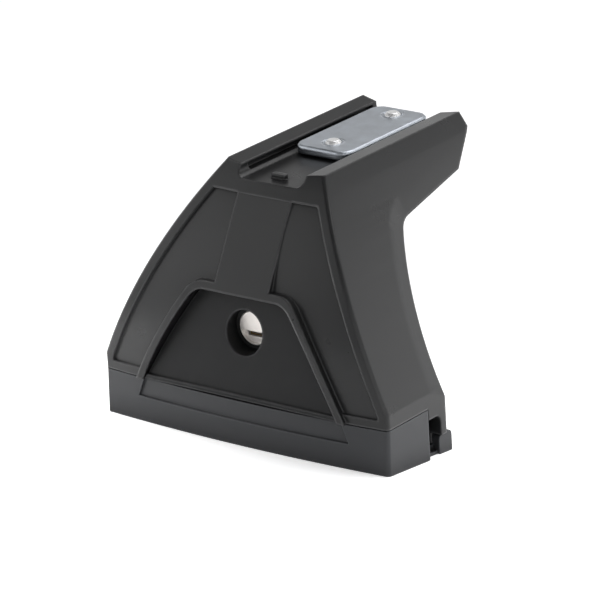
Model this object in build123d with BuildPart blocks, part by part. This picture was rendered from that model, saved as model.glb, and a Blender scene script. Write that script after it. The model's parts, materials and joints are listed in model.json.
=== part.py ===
# Roof bar foot: moulded tower on a wedge boot, lock door in front, screw clamp for the bar on top
# Millimetres, +Z up, door side towards -Y, origin at the fixing hole on the underside
import os
from math import cos, radians, sin, tan

from build123d import *

os.makedirs("parts", exist_ok=True)

# Stance: the tower leans forward over the flat underside by the wedge angle of the boot
WEDGE = 5.7
FRONT_REACH = 20.0

# Tower, in its own leaning frame: X across, Y to the rear, Z up the rails' normal
HALF_BASE = 63.4
HALF_TOP = 21.7
SIDE_BULGE = 2.1
SEAM = 16.5
SKIRT_TOP = 22.0
RAIL_TOP = 94.9
FRONT_LEAN = 28.9
FRONT_SAG = 6.4
BOW_RADIUS = 620.0
WALL = 3.0
SKIRT_ROUND = 1.6
FRONT_EDGE = 0.8

# Rear outline of the tower and its arm
REAR = 36.7
LEG_WALL = 2.9
LEG_FOOT = 4.2
TONGUE_LENGTH = 4.0
NECK_BULGE = 5.0
ARM_ROOT_Y = 55.8
ARM_ROOT_Z = 72.7
NECK_ROUND = 9.0
HEEL_Y = 95.0
HEEL_Z = 78.9
ARM_END = 109.5
ARM_END_Z = 90.0
FACET_WIDTH = 9.0
FACET_DEPTH = 1.6
STEP_REAR = 26.7
ARCH_TOP = 12.3
ARCH_ROUND = 3.0

# Front panels, spine and door collar
PANEL_DEPTH = 1.0
PANEL_RIM = 4.0
PANEL_TOP = 85.7
PANEL_FOOT = 19.9
SPINE_HALF = 12.0
SPINE_TOP_Y = 22.2
COLLAR_FOOT_HALF = 46.8
COLLAR_TOP_HALF = 21.4
COLLAR_TOP = 57.0
COLLAR_FRONT = -0.1
COLLAR_SAG = 1.2
COLLAR_BOW = 1.2
BROW_Y = 4.2
BROW_Z = 54.0
COLLAR_ROUND = 9.5
RIM = 2.7
FRAME_STEP = 2.4

# Door
DOOR_FOOT_Y = 1.6
DOOR_LEAN = 11.7
DOOR_THICK = 3.0
DOOR_GAP = 0.4
DOOR_SEAT_GAP = 0.1
LIP_HEIGHT = 2.2
LIP_PROUD = 1.0

# Lock, on an axis that runs straight back from the door
LOCK_Z = 40.2
LOCK_FACE = 11.3
HOLE_R = 8.0
CORE_R = 6.5
RUN_FIT = 0.05
SLEEVE_WALL = 0.75
FLANGE_THICK = 1.0
FLANGE_FIT = 0.1
CORE_PROUD = 0.3
CORE_CHAMFER = 0.4
FACE_RIM = 0.8
FACE_STEP = 1.2
FACE_RECESS = 1.1
TUBE_WALL = 3.0
TUBE_END = 20.0
NUT_THICK = 3.0
NUT_FLATS = 18.0
SLEEVE_TAIL = 1.4
CAM_THICK = 2.0
CAM_REACH = 19.5
CAM_HALF = 5.0
CAM_ROUND = 2.5
CAM_GAP = 0.5
TAIL_SQUARE = 6.0
CAM_SCREW_R = 1.95
CAM_SCREW_HEAD_R = 3.8
CAM_SCREW_HEAD = 2.2
CAM_SCREW_LENGTH = 5.5
CAM_SCREW_SLOT = 1.1
CAM_SCREW_SLOT_DEPTH = 1.1
KEY_WIDTH = 6.8
KEY_HEIGHT = 2.2
WAFER_COUNT = 4
WAFER_PITCH = 1.9
WAFER_FIRST = 2.5
WAFER_THICK = 0.9
WAFER_WIDTH = 9.4
WAFER_HEIGHT = 8.4
WAFER_FIT = 0.05
KEEPER_THICK = 3.0
KEEPER_FOOT = 56.5
KEEPER_GAP = 0.3

# Bar channel and clamp
CHANNEL_HALF = 14.5
CHANNEL_FLOOR = 89.9
CHANNEL_ROUND = 3.0
FLOOR_THICK = 3.5
GROOVE_DEPTH = 2.0
GROOVE_LEDGE = 0.8
RAIL_LIP = 0.8
RAIL_CANT = 0.9
GROOVE_FRONT = 32.0
GROOVE_TAIL = 4.0
RAIL_END_SLANT = 1.6
NUB_WIDTH = 6.2
NUB_DEPTH = 2.6
NUB_HEIGHT = 1.7
NUB_ROUND = 0.85
NUB_Y = 31.4
PLATE_HALF = 12.2
PLATE_FRONT = 54.3
PLATE_REAR = 105.5
PLATE_THICK = 3.0
PLATE_LIFT = 0.9
PLATE_CORNER = 5.0
PLATE_EDGE = 0.7
SCREW_FRONT_Y = 62.9
SCREW_REAR_Y = 98.3
SCREW_R = 2.95
THREAD_FIT = 0.08
SCREW_HOLE_R = 3.3
SCREW_HEAD_R = 5.0
SCREW_HEAD = 4.0
SOCKET_FLATS = 4.0
SOCKET_DEPTH = 2.2
SCREW_PROUD = 1.0
SCREW_POINT = 0.9
WASHER_R = 6.2
WASHER_THICK = 1.2
FACE_GAP = 0.05
CLIP_R = 4.6
CLIP_THICK = 0.8
CLIP_POCKET_R = 5.2
CLIP_POCKET = 1.2
INSERT_R = 4.0
INSERT_DISH = 0.4
PRESS_FIT = 0.03

# Boot
SEAM_GAP = 0.3
BOOT_FLARE = 0.9
BOOT_FLOOR = 3.0
STRIP_FLOOR = 1.2
STRIP_INSET = 2.5
BOOT_LIP = 1.5
BOOT_FIT = 0.3
HOOK_LIP = 4.7
HOOK_TOP = 3.9
HOOK_ROUND = 2.0
HOOK_INSET = 1.5
HOOK_CAP = 3.0
FLARE_DEPTH = 0.8
FLARE_FOOT = 9.3
FLARE_SPREAD = 3.0

# Base plate, its screws and the fixing bush
BASE_HALF = 57.5
BASE_FRONT = -14.5
BASE_REAR = 11.2
BASE_THICK = 4.0
BASE_CORNER = 3.0
BOSS_MARGIN = 6.0
BOSS_R = 4.5
BOSS_TOP = 40.0
RIB_THICK = 2.5
ARM_RIB_X = 9.5
ARM_RIB_HEIGHT = 5.0
BASE_SCREW_R = 2.45
BASE_SCREW_HOLE_R = 2.75
BASE_SCREW_HEAD_R = 5.0
BASE_SCREW_LENGTH = 14.0
BASE_SOCKET_FLATS = 3.0
BASE_SOCKET_DEPTH = 1.8
BOSS_INSERT_R = 3.3
BOSS_INSERT_LENGTH = 9.0
BUSH_R = 7.0
BUSH_BORE_R = 4.5
BUSH_FLANGE_R = 10.0
BUSH_FLANGE = 1.5

# Planes of the leaning tower: plan, side view (Y, Z) and front view (X, Z)
lean_up = (0, -sin(radians(WEDGE)), cos(radians(WEDGE)))
TOWER = Plane(origin=(0, -FRONT_REACH, 0), x_dir=(1, 0, 0), z_dir=lean_up)
SIDE = Plane(origin=TOWER.origin, x_dir=TOWER.y_dir, z_dir=TOWER.x_dir)
FRONT = Plane(origin=TOWER.origin, x_dir=TOWER.x_dir, z_dir=-TOWER.y_dir)
BOW_AXIS = Axis(TOWER.from_local_coords((0, BOW_RADIUS, 0)), TOWER.z_dir)
depth_axis = Axis(TOWER.origin, TOWER.y_dir)
height_axis = Axis(TOWER.origin, TOWER.z_dir)

# Reach of the rough forms beyond the tower
AHEAD = 10.0
BELOW = -12.0
EDGE_BAND = 1.0
form_depth = ARM_END + AHEAD
across = HALF_BASE + AHEAD

# Levels that several pieces share
ceiling = CHANNEL_FLOOR - FLOOR_THICK
rail_inner = RAIL_TOP - RAIL_CANT
base_top = BOOT_FLOOR + BASE_THICK
boot_top = SEAM - SEAM_GAP
leg_front = REAR - LEG_WALL
tongue_foot = LEG_FOOT - TONGUE_LENGTH
tongue_half = HALF_BASE - HOOK_INSET - HOOK_CAP - BOOT_FIT
hook_front = leg_front + BOOT_FIT
hook_rear = REAR + HOOK_LIP
floor_reach = REAR * cos(radians(WEDGE)) - FRONT_REACH
tray_depth = BASE_REAR - BASE_FRONT + 2 * BOOT_FIT
mouth_half = BASE_HALF + BOOT_FIT - BOOT_LIP
flange_front = LOCK_FACE + CORE_PROUD
flange_back = flange_front + FLANGE_THICK
barrel_r = CORE_R + RUN_FIT + SLEEVE_WALL
sleeve_end = TUBE_END + NUT_THICK + SLEEVE_TAIL
cam_front = sleeve_end + CAM_GAP
cam_rear = cam_front + CAM_THICK
plate_foot = CHANNEL_FLOOR + PLATE_LIFT
head_top = ceiling - WASHER_THICK - FACE_GAP
screw_tip = plate_foot + PLATE_THICK + SCREW_PROUD
clip_foot = CHANNEL_FLOOR - CLIP_POCKET + FACE_GAP
screw_points = [(0, SCREW_FRONT_Y), (0, SCREW_REAR_Y)]


def door_y(z):
    """Front surface of the door in the side view."""
    return DOOR_FOOT_Y + (z - SEAM - LIP_HEIGHT) * tan(radians(DOOR_LEAN))


def tower_face():
    """Front view of the tower: straight skirt, bowed sides and a flat top."""
    with BuildLine() as outline:
        Polyline((-HALF_BASE, SKIRT_TOP), (-HALF_BASE, BELOW), (HALF_BASE, BELOW), (HALF_BASE, SKIRT_TOP))
        SagittaArc((HALF_BASE, SKIRT_TOP), (HALF_TOP, RAIL_TOP), -SIDE_BULGE)
        Line((HALF_TOP, RAIL_TOP), (-HALF_TOP, RAIL_TOP))
        SagittaArc((-HALF_TOP, RAIL_TOP), (-HALF_BASE, SKIRT_TOP), -SIDE_BULGE)
    make_face(outline.edges())


def front_region():
    """Side view of all that lies behind the tower's front curve, back to the axis of the bow."""
    with BuildLine() as outline:
        Line((0, BELOW), (0, SKIRT_TOP))
        SagittaArc((0, SKIRT_TOP), (FRONT_LEAN, RAIL_TOP), FRONT_SAG)
        Polyline((FRONT_LEAN, RAIL_TOP), (BOW_RADIUS, RAIL_TOP), (BOW_RADIUS, BELOW), (0, BELOW))
    make_face(outline.edges())


def tower_form(inset):
    """Volume within the tower's front and sides, drawn in by the inset, endless to the rear."""
    with BuildPart() as form:
        with BuildSketch(FRONT.offset(AHEAD)):
            tower_face()
            if inset > 0:
                offset(amount=-inset, kind=Kind.INTERSECTION, mode=Mode.REPLACE)
        extrude(amount=-AHEAD - form_depth)
        with BuildSketch(SIDE):
            front_region()
            if inset > 0:
                offset(amount=-inset, kind=Kind.INTERSECTION, mode=Mode.REPLACE)
        revolve(axis=BOW_AXIS, mode=Mode.INTERSECT)
    return form.part


def bowed_sides(foot_half, top_half, top):
    """Top line and bowed sides that the collar and its opening share, from the seam up."""
    SagittaArc((foot_half, SEAM), (top_half, top), -COLLAR_BOW)
    Line((top_half, top), (-top_half, top))
    SagittaArc((-top_half, top), (-foot_half, SEAM), -COLLAR_BOW)


def opening_face(inset):
    """Front view of the door opening, open at the foot, drawn in by the inset."""
    slope = (COLLAR_FOOT_HALF - COLLAR_TOP_HALF) / (COLLAR_TOP - SEAM)
    side_rim = (RIM + inset) * (1 + slope**2) ** 0.5
    top = COLLAR_TOP - RIM - inset
    foot_half = COLLAR_FOOT_HALF - side_rim
    top_half = foot_half - slope * (top - SEAM)
    with BuildLine() as outline:
        Polyline((-foot_half, SEAM), (-foot_half, BELOW), (foot_half, BELOW), (foot_half, SEAM))
        bowed_sides(foot_half, top_half, top)
    opening = make_face(outline.edges())
    fillet(opening.vertices().group_by(Axis.Y)[-1], COLLAR_ROUND - RIM / 2)


def collar_face():
    """Front view of the door collar."""
    with BuildLine() as outline:
        Line((-COLLAR_FOOT_HALF, SEAM), (COLLAR_FOOT_HALF, SEAM))
        bowed_sides(COLLAR_FOOT_HALF, COLLAR_TOP_HALF, COLLAR_TOP)
    collar = make_face(outline.edges())
    fillet(collar.vertices().group_by(Axis.Y)[-1], COLLAR_ROUND)


outer_form = tower_form(0)
hollow_form = tower_form(WALL)
trim_form = tower_form(WALL / 2)
panel_form = tower_form(PANEL_DEPTH)

# Space in front of the sunk panels, within the rim of the front
with BuildPart() as panel_cut:
    with BuildSketch(FRONT.offset(AHEAD)):
        tower_face()
        offset(amount=-PANEL_RIM, kind=Kind.INTERSECTION, mode=Mode.REPLACE)
        with Locations((0, (PANEL_FOOT + PANEL_TOP) / 2)):
            Rectangle(2 * across, PANEL_TOP - PANEL_FOOT, mode=Mode.INTERSECT)
    extrude(amount=-AHEAD - FRONT_LEAN - AHEAD)
    add(panel_form, mode=Mode.SUBTRACT)

# Collar round the door and the spine above it, which share one side profile
with BuildPart() as collar_form:
    with BuildSketch(FRONT.offset(AHEAD)):
        collar_face()
        with Locations((0, COLLAR_TOP - COLLAR_ROUND)):
            Rectangle(2 * SPINE_HALF, PANEL_TOP - COLLAR_TOP + COLLAR_ROUND, align=(Align.CENTER, Align.MIN))
    extrude(amount=-AHEAD - SPINE_TOP_Y - WALL)
    with BuildSketch(SIDE):
        with BuildLine():
            SagittaArc((COLLAR_FRONT, SEAM), (BROW_Y, BROW_Z), COLLAR_SAG)
            Polyline(
                (BROW_Y, BROW_Z),
                (SPINE_TOP_Y, PANEL_TOP),
                (SPINE_TOP_Y + WALL, PANEL_TOP),
                (SPINE_TOP_Y + WALL, SEAM),
                (COLLAR_FRONT, SEAM),
            )
        make_face()
    extrude(amount=across, both=True, mode=Mode.INTERSECT)

# Hollow of the column and, behind its rear wall, the open underside of the arm
with BuildPart() as hollow_cut:
    add(hollow_form)
    with BuildSketch(SIDE):
        with BuildLine():
            Line((-AHEAD, BELOW), (REAR - LEG_WALL, BELOW))
            Line((REAR - LEG_WALL, BELOW), (REAR - LEG_WALL, SKIRT_TOP))
            SagittaArc((REAR - LEG_WALL, SKIRT_TOP), (ARM_ROOT_Y - WALL, ARM_ROOT_Z), NECK_BULGE)
            Line((ARM_ROOT_Y - WALL, ARM_ROOT_Z), (ARM_ROOT_Y - WALL, ceiling))
            Line((ARM_ROOT_Y - WALL, ceiling), (-AHEAD, ceiling))
            Line((-AHEAD, ceiling), (-AHEAD, BELOW))
        make_face()
        with Locations((ARM_ROOT_Y, ceiling)):
            Rectangle(ARM_END, RAIL_TOP, align=(Align.MIN, Align.MAX))
    extrude(amount=across, both=True, mode=Mode.INTERSECT)

# Walls round the door opening, back to the step that the door seats on
with BuildPart() as frame_form:
    with BuildSketch(FRONT.offset(AHEAD)):
        collar_face()
    extrude(amount=-AHEAD - ARM_ROOT_Y)
    with BuildSketch(SIDE):
        with BuildLine():
            frame_back = DOOR_THICK + DOOR_SEAT_GAP + FRAME_STEP
            spine_run = (SPINE_TOP_Y - BROW_Y) / (PANEL_TOP - BROW_Z)
            SagittaArc((COLLAR_FRONT, SEAM), (BROW_Y, BROW_Z), COLLAR_SAG)
            Polyline(
                (BROW_Y, BROW_Z),
                (BROW_Y + spine_run * (COLLAR_TOP - BROW_Z), COLLAR_TOP),
                (door_y(COLLAR_TOP) + frame_back, COLLAR_TOP),
                (door_y(SEAM) + frame_back, SEAM),
                (COLLAR_FRONT, SEAM),
            )
        make_face()
    extrude(amount=across, both=True, mode=Mode.INTERSECT)

# Pocket that the door drops into, and the way through behind it
with BuildPart() as door_pocket:
    with BuildSketch(FRONT.offset(AHEAD)):
        opening_face(0)
    extrude(amount=-AHEAD - ARM_ROOT_Y)
    with BuildSketch(SIDE):
        with BuildLine():
            pocket_back = DOOR_THICK + DOOR_SEAT_GAP
            Polyline(
                (-AHEAD, BELOW),
                (-AHEAD, COLLAR_TOP),
                (door_y(COLLAR_TOP) + pocket_back, COLLAR_TOP),
                (door_y(BELOW) + pocket_back, BELOW),
                close=True,
            )
        make_face()
    extrude(amount=across, both=True, mode=Mode.INTERSECT)
    with BuildSketch(FRONT.offset(AHEAD)):
        opening_face(FRAME_STEP)
    extrude(amount=-AHEAD - REAR / 2)

# Bosses, ribs and the lock's keeper inside the tower
boss_x = BASE_HALF - BOSS_MARGIN
boss_rows = (BASE_FRONT + BOSS_MARGIN, BASE_REAR - BOSS_MARGIN)
boss_points = [(x, y) for x in (-boss_x, boss_x) for y in boss_rows]
rib_x = (boss_x + HALF_BASE) / 2
rib_points = [(x, FRONT_REACH + y) for x in (-rib_x, rib_x) for y in boss_rows]
with BuildPart() as stiffeners:
    with BuildSketch(Plane.XY.offset(base_top)):
        with Locations(*boss_points):
            Circle(BOSS_R)
    extrude(amount=BOSS_TOP - base_top)
    with BuildSketch(TOWER.offset(SEAM)):
        with Locations(*rib_points):
            Rectangle(HALF_BASE - boss_x, RIB_THICK)
    extrude(amount=BOSS_TOP - SEAM)
    with BuildSketch(FRONT.offset(KEEPER_GAP - cam_front)):
        with Locations((0, KEEPER_FOOT)):
            Rectangle(2 * HALF_BASE, ceiling + WALL / 2 - KEEPER_FOOT, align=(Align.CENTER, Align.MIN))
    extrude(amount=KEEPER_THICK)
    add(trim_form, mode=Mode.INTERSECT)

# Ribs under the channel floor, along the arm
with BuildPart() as arm_ribs:
    with BuildSketch(TOWER.offset(ceiling - ARM_RIB_HEIGHT)):
        with Locations((-ARM_RIB_X, ARM_ROOT_Y), (ARM_RIB_X, ARM_ROOT_Y)):
            Rectangle(RIB_THICK, HEEL_Y - ARM_ROOT_Y, align=(Align.CENTER, Align.MIN))
        with Locations((0, (SCREW_FRONT_Y + SCREW_REAR_Y) / 2)):
            Rectangle(2 * HALF_TOP, RIB_THICK)
    extrude(amount=ARM_RIB_HEIGHT + WALL / 2)

# Tower housing
with BuildPart() as tower_housing:
    add(outer_form)
    with BuildSketch(SIDE):
        with BuildLine():
            Line((-AHEAD, BELOW), (REAR, BELOW))
            Line((REAR, BELOW), (REAR, SKIRT_TOP))
            SagittaArc((REAR, SKIRT_TOP), (ARM_ROOT_Y, ARM_ROOT_Z), NECK_BULGE)
            Polyline(
                (ARM_ROOT_Y, ARM_ROOT_Z),
                (HEEL_Y, HEEL_Z),
                (ARM_END, ARM_END_Z),
                (ARM_END, RAIL_TOP),
                (-AHEAD, RAIL_TOP),
                (-AHEAD, BELOW),
            )
        rear_face = make_face()
        fillet(rear_face.vertices().sort_by_distance((ARM_ROOT_Y, ARM_ROOT_Z))[0], NECK_ROUND)
    extrude(amount=across, both=True, mode=Mode.INTERSECT)
    # Facet turned in along the neck and under the arm on each side, running out at the arm's end
    for end in (0, -1):
        side_face = tower_housing.faces().filter_by(GeomType.CYLINDER).sort_by(Axis.X)[end]
        rear_edges = side_face.edges().filter_by_position(depth_axis, REAR, ARM_END + AHEAD)
        rear_edges = rear_edges.filter_by_position(height_axis, SKIRT_TOP + EDGE_BAND, HEEL_Z)
        chamfer(rear_edges, length=FACET_WIDTH, length2=FACET_DEPTH, reference=side_face)
    # Rounded front corners of the skirt and broken edges between the front and the sides
    fillet(tower_housing.edges().filter_by(height_axis).sort_by(depth_axis)[:2], SKIRT_ROUND)
    front_edges = tower_housing.edges().filter_by_position(depth_axis, 0, FRONT_LEAN)
    front_edges = front_edges.filter_by_position(height_axis, SKIRT_TOP + EDGE_BAND, RAIL_TOP - EDGE_BAND)
    chamfer(front_edges.sort_by(SortBy.LENGTH)[-2:], FRONT_EDGE)
    add(panel_cut.part, mode=Mode.SUBTRACT)
    add(collar_form.part)
    add(hollow_cut.part, mode=Mode.SUBTRACT)
    # Foot of the tower: seam on the boot, arch behind it and the rear leg
    with BuildSketch(SIDE):
        with BuildLine():
            Polyline(
                (-AHEAD, BELOW - EDGE_BAND),
                (-AHEAD, SEAM),
                (STEP_REAR, SEAM),
                (STEP_REAR, ARCH_TOP),
                (leg_front, ARCH_TOP),
                (leg_front, LEG_FOOT),
                (REAR + AHEAD, LEG_FOOT),
                (REAR + AHEAD, BELOW - EDGE_BAND),
                close=True,
            )
        foot_face = make_face()
        fillet(foot_face.vertices().sort_by_distance((leg_front, ARCH_TOP))[0], ARCH_ROUND)
    extrude(amount=across, both=True, mode=Mode.SUBTRACT)
    with BuildSketch(SIDE):
        with Locations((leg_front, LEG_FOOT)):
            Rectangle(LEG_WALL, LEG_FOOT - tongue_foot, align=(Align.MIN, Align.MAX))
    extrude(amount=tongue_half, both=True)
    add(frame_form.part)
    add(stiffeners.part)
    add(arm_ribs.part)
    add(door_pocket.part, mode=Mode.SUBTRACT)
    # Bar channel with its canted rails, undercut grooves, slanted rail ends and locating nub
    with BuildSketch(FRONT.offset(AHEAD)):
        with BuildLine():
            Polyline(
                (-HALF_TOP, RAIL_TOP),
                (-CHANNEL_HALF, rail_inner),
                (CHANNEL_HALF, rail_inner),
                (HALF_TOP, RAIL_TOP),
                (HALF_TOP, RAIL_TOP + AHEAD),
                (-HALF_TOP, RAIL_TOP + AHEAD),
                close=True,
            )
        make_face()
    extrude(amount=-AHEAD - form_depth, mode=Mode.SUBTRACT)
    with BuildSketch(FRONT.offset(AHEAD)):
        with Locations((0, CHANNEL_FLOOR)):
            channel_face = Rectangle(2 * CHANNEL_HALF, RAIL_TOP, align=(Align.CENTER, Align.MIN))
        fillet(channel_face.vertices().group_by(Axis.Y)[0], CHANNEL_ROUND)
    extrude(amount=-AHEAD - form_depth, mode=Mode.SUBTRACT)
    with BuildSketch(FRONT.offset(-GROOVE_FRONT)):
        with Locations((0, CHANNEL_FLOOR + GROOVE_LEDGE)):
            Rectangle(
                2 * (CHANNEL_HALF + GROOVE_DEPTH),
                rail_inner - RAIL_LIP - CHANNEL_FLOOR - GROOVE_LEDGE,
                align=(Align.CENTER, Align.MIN),
            )
    extrude(amount=GROOVE_FRONT + GROOVE_TAIL - ARM_END, mode=Mode.SUBTRACT)
    with BuildSketch(TOWER.offset(CHANNEL_FLOOR)):
        with BuildLine():
            Polyline(
                (-HALF_TOP, ARM_END),
                (-CHANNEL_HALF, ARM_END - RAIL_END_SLANT),
                (CHANNEL_HALF, ARM_END - RAIL_END_SLANT),
                (HALF_TOP, ARM_END),
                (HALF_TOP, ARM_END + AHEAD),
                (-HALF_TOP, ARM_END + AHEAD),
                close=True,
            )
        make_face()
    extrude(amount=RAIL_TOP, mode=Mode.SUBTRACT)
    with BuildSketch(TOWER.offset(CHANNEL_FLOOR - FLOOR_THICK / 2)):
        with Locations((0, NUB_Y)):
            RectangleRounded(NUB_WIDTH, NUB_DEPTH, NUB_ROUND)
    extrude(amount=FLOOR_THICK / 2 + NUB_HEIGHT)
    # Holes for the clamp screws, with a pocket for their clips, and for the base screws
    with BuildSketch(TOWER.offset(ceiling - FLOOR_THICK)):
        with Locations(*screw_points):
            Circle(SCREW_HOLE_R)
    extrude(amount=2 * FLOOR_THICK, mode=Mode.SUBTRACT)
    with BuildSketch(TOWER.offset(CHANNEL_FLOOR - CLIP_POCKET)):
        with Locations(*screw_points):
            Circle(CLIP_POCKET_R)
    extrude(amount=FLOOR_THICK, mode=Mode.SUBTRACT)
    with BuildSketch(Plane.XY.offset(base_top)):
        with Locations(*boss_points):
            Circle(BOSS_INSERT_R + PRESS_FIT)
    extrude(amount=BASE_SCREW_LENGTH, mode=Mode.SUBTRACT)
tower_housing.part.label = "tower_housing"
export_step(tower_housing.part, "parts/tower_housing.step")


def boot_region(inset):
    """Side view of all that lies behind the boot's flared front, back to the axis of the bow."""
    flare = BOOT_FLARE / SEAM
    with BuildLine() as outline:
        Polyline(
            (inset - flare * (SEAM - BELOW), BELOW),
            (inset - flare * SEAM_GAP, boot_top),
            (BOW_RADIUS, boot_top),
            (BOW_RADIUS, BELOW),
            close=True,
        )
    make_face(outline.edges())


# Shallow recess in the boot's front that carries on the flare of the door
with BuildPart() as flare_cut:
    with BuildSketch(FRONT.offset(AHEAD)):
        with BuildLine():
            foot_half = COLLAR_FOOT_HALF - RIM + FLARE_SPREAD
            Polyline(
                (-COLLAR_FOOT_HALF + RIM, SEAM),
                (COLLAR_FOOT_HALF - RIM, SEAM),
                (foot_half, FLARE_FOOT),
                (-foot_half, FLARE_FOOT),
                close=True,
            )
        make_face()
    extrude(amount=-2 * AHEAD)
    with BuildSketch(SIDE):
        boot_region(FLARE_DEPTH)
    revolve(axis=BOW_AXIS, mode=Mode.SUBTRACT)

# Base boot: wedge block with a flat underside, floor strip and hook lip behind the rear leg
with BuildPart() as base_boot:
    with BuildSketch(TOWER.offset(BELOW)):
        with Locations((0, STEP_REAR - SEAM_GAP)):
            Rectangle(2 * HALF_BASE, form_depth, align=(Align.CENTER, Align.MAX))
    extrude(amount=boot_top - BELOW)
    with BuildSketch(SIDE):
        boot_region(0)
    revolve(axis=BOW_AXIS, mode=Mode.INTERSECT)
    corner_edges = base_boot.edges().filter_by_position(height_axis, 0, SEAM / 3)
    fillet(corner_edges.filter_by_position(depth_axis, -AHEAD, AHEAD).group_by(SortBy.LENGTH)[0], SKIRT_ROUND)
    with BuildSketch(SIDE):
        with Locations((hook_front, BELOW)):
            hook_face = Rectangle(hook_rear - hook_front, HOOK_TOP - BELOW, align=(Align.MIN, Align.MIN))
        fillet(hook_face.vertices().group_by(Axis.Y)[-1], HOOK_ROUND)
    extrude(amount=HALF_BASE - HOOK_INSET, both=True)
    with BuildSketch(Plane.XY):
        Rectangle(2 * (HALF_BASE - STRIP_INSET), floor_reach, align=(Align.CENTER, Align.MIN))
    extrude(amount=STRIP_FLOOR)
    with BuildSketch(Plane.XY):
        Rectangle(2 * (tongue_half + BOOT_FIT), floor_reach, align=(Align.CENTER, Align.MIN))
    extrude(amount=BOOT_FLOOR)
    split(bisect_by=Plane.XY, keep=Keep.TOP)
    add(flare_cut.part, mode=Mode.SUBTRACT)
    # Groove behind which the rear leg's tongue stands
    with BuildSketch(SIDE):
        with Locations((leg_front - BOOT_FIT, tongue_foot - BOOT_FIT)):
            Rectangle(LEG_WALL + 2 * BOOT_FIT, HOOK_TOP + SEAM, align=(Align.MIN, Align.MIN))
    extrude(amount=tongue_half + BOOT_FIT, both=True, mode=Mode.SUBTRACT)
    # Tray for the base plate, with a lip over the plate's edge
    with BuildSketch(Plane.XY.offset(BOOT_FLOOR)):
        with Locations((0, BASE_FRONT - BOOT_FIT)):
            Rectangle(2 * (BASE_HALF + BOOT_FIT), tray_depth, align=(Align.CENTER, Align.MIN))
    extrude(amount=BASE_THICK + BOOT_FIT, mode=Mode.SUBTRACT)
    with BuildSketch(Plane.XY.offset(BOOT_FLOOR)):
        with Locations((0, BASE_FRONT - BOOT_FIT + BOOT_LIP)):
            Rectangle(2 * mouth_half, tray_depth - BOOT_LIP, align=(Align.CENTER, Align.MIN))
    extrude(amount=2 * SEAM, mode=Mode.SUBTRACT)
    with BuildSketch(Plane.XY):
        Circle(BUSH_R + BOOT_FIT)
    extrude(amount=BOOT_FLOOR, mode=Mode.SUBTRACT)
base_boot.part.label = "base_boot"
export_step(base_boot.part, "parts/base_boot.step")

# Steel base plate with countersunk holes from below
with BuildPart() as base_plate:
    with BuildSketch(Plane.XY.offset(BOOT_FLOOR)):
        with Locations((0, (BASE_FRONT + BASE_REAR) / 2)):
            RectangleRounded(2 * BASE_HALF, BASE_REAR - BASE_FRONT, BASE_CORNER)
        Circle(BUSH_R + PRESS_FIT, mode=Mode.SUBTRACT)
        with Locations(*boss_points):
            Circle(BASE_SCREW_HOLE_R, mode=Mode.SUBTRACT)
    extrude(amount=BASE_THICK)
    with Locations(*[(x, y, BOOT_FLOOR) for x, y in boss_points]):
        Cone(
            BASE_SCREW_HEAD_R + PRESS_FIT,
            BASE_SCREW_HOLE_R,
            BASE_SCREW_HEAD_R + PRESS_FIT - BASE_SCREW_HOLE_R,
            align=(Align.CENTER, Align.CENTER, Align.MIN),
            mode=Mode.SUBTRACT,
        )
base_plate.part.label = "base_plate"
export_step(base_plate.part, "parts/base_plate.step")

# Countersunk screws that hold the tower on the base plate
with BuildPart() as base_screws:
    with Locations(*[(x, y, BOOT_FLOOR) for x, y in boss_points]):
        Cone(
            BASE_SCREW_HEAD_R,
            BASE_SCREW_R,
            BASE_SCREW_HEAD_R - BASE_SCREW_R,
            align=(Align.CENTER, Align.CENTER, Align.MIN),
        )
        Cylinder(BASE_SCREW_R, BASE_SCREW_LENGTH, align=(Align.CENTER, Align.CENTER, Align.MIN))
    with BuildSketch(Plane.XY.offset(BOOT_FLOOR)):
        with Locations(*boss_points):
            RegularPolygon(BASE_SOCKET_FLATS / 2, 6, major_radius=False)
    extrude(amount=BASE_SOCKET_DEPTH, mode=Mode.SUBTRACT)
base_screws.part.label = "base_screws"
export_step(base_screws.part, "parts/base_screws.step")

# Brass threads in the tower's bosses
with BuildPart() as boss_inserts:
    with BuildSketch(Plane.XY.offset(base_top)):
        with Locations(*boss_points):
            Circle(BOSS_INSERT_R)
            Circle(BASE_SCREW_R + PRESS_FIT, mode=Mode.SUBTRACT)
    extrude(amount=BOSS_INSERT_LENGTH)
boss_inserts.part.label = "boss_inserts"
export_step(boss_inserts.part, "parts/boss_inserts.step")

# Flanged bush that takes the fixing through the boot and the base plate
with BuildPart() as fixing_bush:
    with BuildSketch(Plane.XY):
        Circle(BUSH_R)
    extrude(amount=base_top)
    with BuildSketch(Plane.XY.offset(base_top)):
        Circle(BUSH_FLANGE_R)
    extrude(amount=BUSH_FLANGE)
    with BuildSketch(Plane.XY):
        Circle(BUSH_BORE_R)
    extrude(amount=2 * base_top, mode=Mode.SUBTRACT)
fixing_bush.part.label = "fixing_bush"
export_step(fixing_bush.part, "parts/fixing_bush.step")

# Flat plate of the door, with a lip along its foot
with BuildPart() as door_plate:
    with BuildSketch(FRONT.offset(AHEAD)):
        opening_face(DOOR_GAP)
    extrude(amount=-AHEAD - ARM_ROOT_Y)
    with BuildSketch(SIDE):
        with BuildLine():
            lip_z = SEAM + LIP_HEIGHT
            door_foot = SEAM + DOOR_GAP
            Polyline(
                (DOOR_FOOT_Y - LIP_PROUD, door_foot),
                (DOOR_FOOT_Y - LIP_PROUD, lip_z),
                (DOOR_FOOT_Y, lip_z),
                (door_y(COLLAR_TOP), COLLAR_TOP),
                (door_y(COLLAR_TOP) + DOOR_THICK, COLLAR_TOP),
                (door_y(door_foot) + DOOR_THICK, door_foot),
                close=True,
            )
        make_face()
    extrude(amount=across, both=True, mode=Mode.INTERSECT)

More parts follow.
